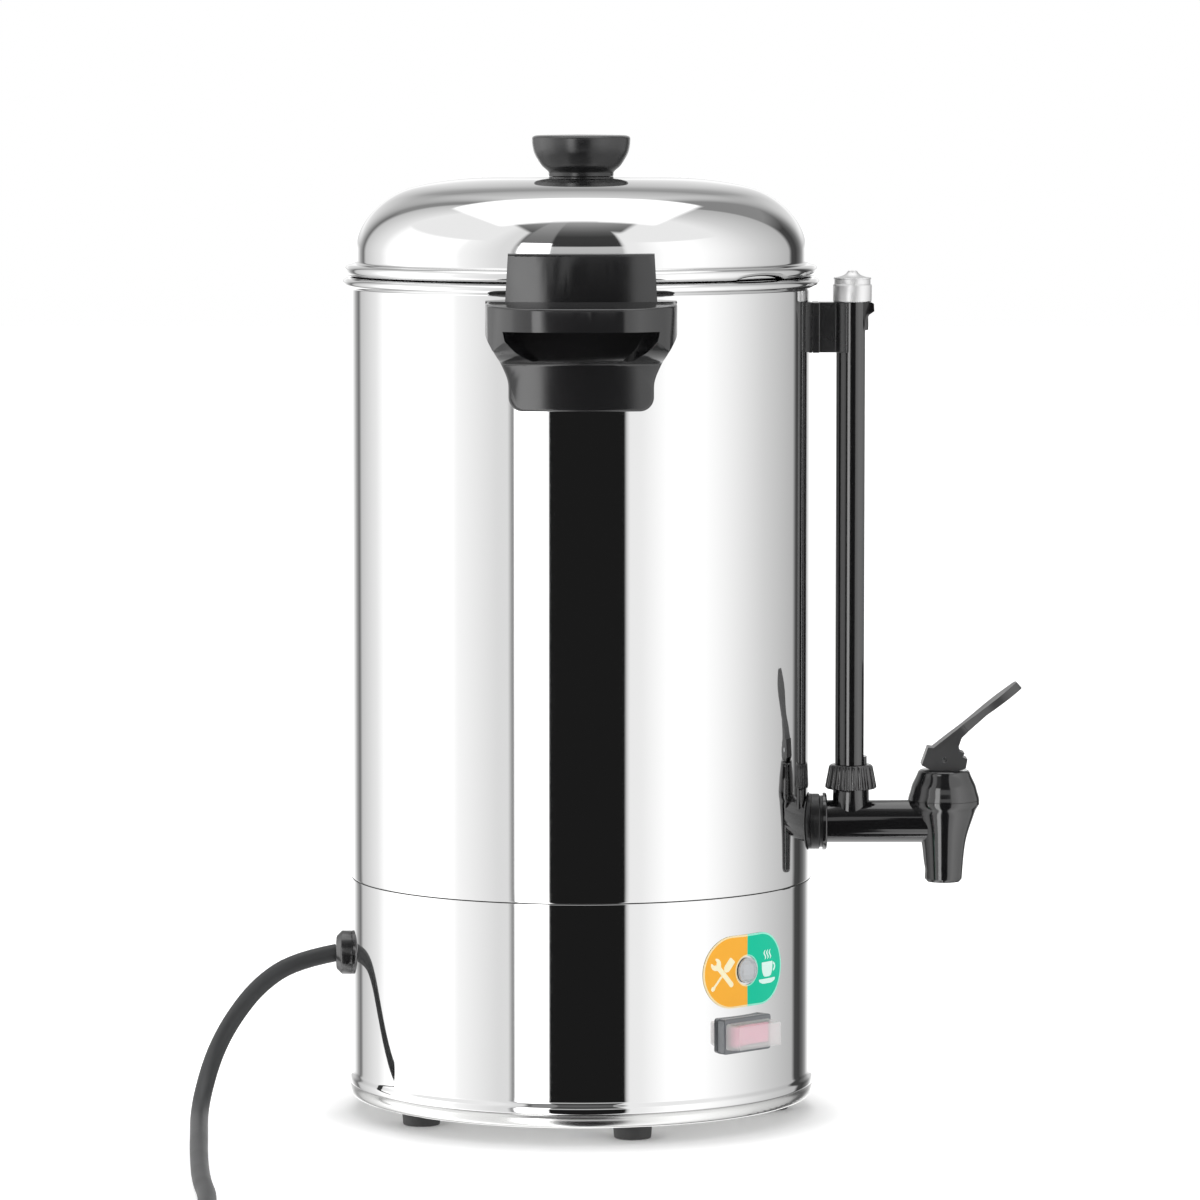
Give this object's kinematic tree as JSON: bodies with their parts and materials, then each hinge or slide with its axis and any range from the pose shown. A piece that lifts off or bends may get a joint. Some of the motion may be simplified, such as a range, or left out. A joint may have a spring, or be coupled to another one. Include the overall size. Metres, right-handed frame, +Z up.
{
  "type": "hot water urn",
  "caption": "Round steel water boiler with a domed lift-off lid, side handles, lever tap with sight gauge, rocker switch and mains lead.",
  "frame": {"origin": "on the tank's axis, at the level the feet stand on", "axes": "+Z up, +X towards the tap, -Y towards the front handle, -X towards the mains lead"},
  "size_m": [0.3951, 0.6802, 0.4663],
  "materials": {
    "tank_steel": "mirror-polished stainless steel",
    "skirt_steel": "mirror-polished stainless steel",
    "lid_steel": "mirror-polished stainless steel",
    "pan_steel": "bright rolled stainless steel",
    "zinc_steel": "zinc-plated steel",
    "plate_aluminium": "cast and machined",
    "element_steel": "heat-dulled steel sheath",
    "thermostat_plastic": "moulded phenolic",
    "block_plastic": "moulded",
    "brass": "bare brass",
    "brown_lead": "sleeved wire",
    "blue_lead": "sleeved wire",
    "earth_lead": "sleeved wire",
    "foot_rubber": "moulded",
    "cord_rubber": "smooth, slightly glossy",
    "tap_rubber": "moulded",
    "seat_rubber": "moulded silicone",
    "switch_plastic": "moulded, glossy",
    "rocker_plastic": "moulded, tinted clear",
    "clear_cover": "moulded, clear",
    "lens_plastic": "moulded, smoked clear",
    "label_film": "two-tone laminated film",
    "handle_plastic": "moulded phenolic, glossy",
    "knob_plastic": "moulded phenolic, glossy",
    "tap_plastic": "moulded, glossy",
    "tap_nut_plastic": "moulded",
    "shield_plastic": "moulded, glossy",
    "bracket_plastic": "moulded, glossy",
    "gland_plastic": "moulded",
    "stem_steel": "turned stainless steel",
    "spring_steel": "drawn stainless wire",
    "gauge_glass": "drawn borosilicate tube",
    "cap_chrome": "satin and polished plate",
    "pin_nickel": "nickel-plated brass"
  },
  "bodies": {
    "housing": {"tank": "tank_steel", "base_skirt": "skirt_steel", "base_pan": "pan_steel", "base_studs": "zinc_steel", "hex_nuts": "zinc_steel", "foot_1": "foot_rubber", "foot_2": "foot_rubber", "foot_3": "foot_rubber", "foot_4": "foot_rubber", "foot_5": "foot_rubber", "foot_screws": "zinc_steel", "heater_plate": "plate_aluminium", "heating_element": "element_steel", "thermostat": "thermostat_plastic", "boil_dry_cutout": "thermostat_plastic", "thermostat_bridge": "zinc_steel", "terminal_block": "block_plastic", "earth_stud": "brass", "lead_live": "brown_lead", "lead_switched": "brown_lead", "lead_link": "brown_lead", "lead_element": "brown_lead", "lead_neutral": "blue_lead", "lead_earth": "earth_lead", "cord_tail": "cord_rubber", "switch_housing": "switch_plastic", "switch_tags": "brass", "switch_cover": "clear_cover", "lamp_holder": "switch_plastic", "lamp_lens": "lens_plastic", "control_label": "label_film", "handle_front": "handle_plastic", "handle_rear": "handle_plastic", "wall_screws": "zinc_steel", "tap_body": "tap_plastic", "tap_washer_outer": "tap_rubber", "tap_washer_inner": "tap_rubber", "tap_nut": "tap_nut_plastic", "tap_bonnet": "tap_plastic", "tap_spring": "spring_steel", "gauge_nut": "tap_plastic", "gauge_seal": "seat_rubber", "gauge_glass": "gauge_glass", "gauge_shield": "shield_plastic", "gauge_cap": "cap_chrome", "gauge_bracket": "bracket_plastic", "cord_gland": "gland_plastic", "power_cord": "cord_rubber", "cord_coil": "cord_rubber", "plug_body": "cord_rubber", "plug_pins": "pin_nickel"},
    "lid": {"lid": "lid_steel", "lid_knob": "knob_plastic", "knob_washer": "tap_rubber", "knob_screw": "zinc_steel"},
    "valve": {"tap_stem": "stem_steel", "seat_cup": "seat_rubber"},
    "lever": {"tap_lever": "tap_plastic", "lever_pin": "stem_steel"},
    "rocker": {"switch_rocker": "rocker_plastic"}
  },
  "joints": [
    {"name": "lid_lift", "type": "slide", "parent": "housing", "child": "lid", "axis": [0, 0, 1], "range_m": [0, 0.15]},
    {"name": "stem_lift", "type": "slide", "parent": "housing", "child": "valve", "axis": [0, 0, 1], "range_m": [0, 0.00365], "deforming": ["tap_spring"]},
    {"name": "lever_press", "type": "hinge", "parent": "valve", "child": "lever", "pos_m": [0.1735, 0, 0.1685], "axis": [0, 1, 0], "range_deg": [0, 32], "stiffness_Nm_per_rad": 0.05, "springref_deg": -17.19},
    {"name": "rocker_tilt", "type": "hinge", "parent": "housing", "child": "rocker", "pos_m": [0.07318, -0.07738, 0.0478], "axis": [0, 0, -1], "range_deg": [0, 14]}
  ],
  "couplings": [
    {"joint": "stem_lift", "follows": "lever_press", "m_per_rad": 0.0065}
  ]
}
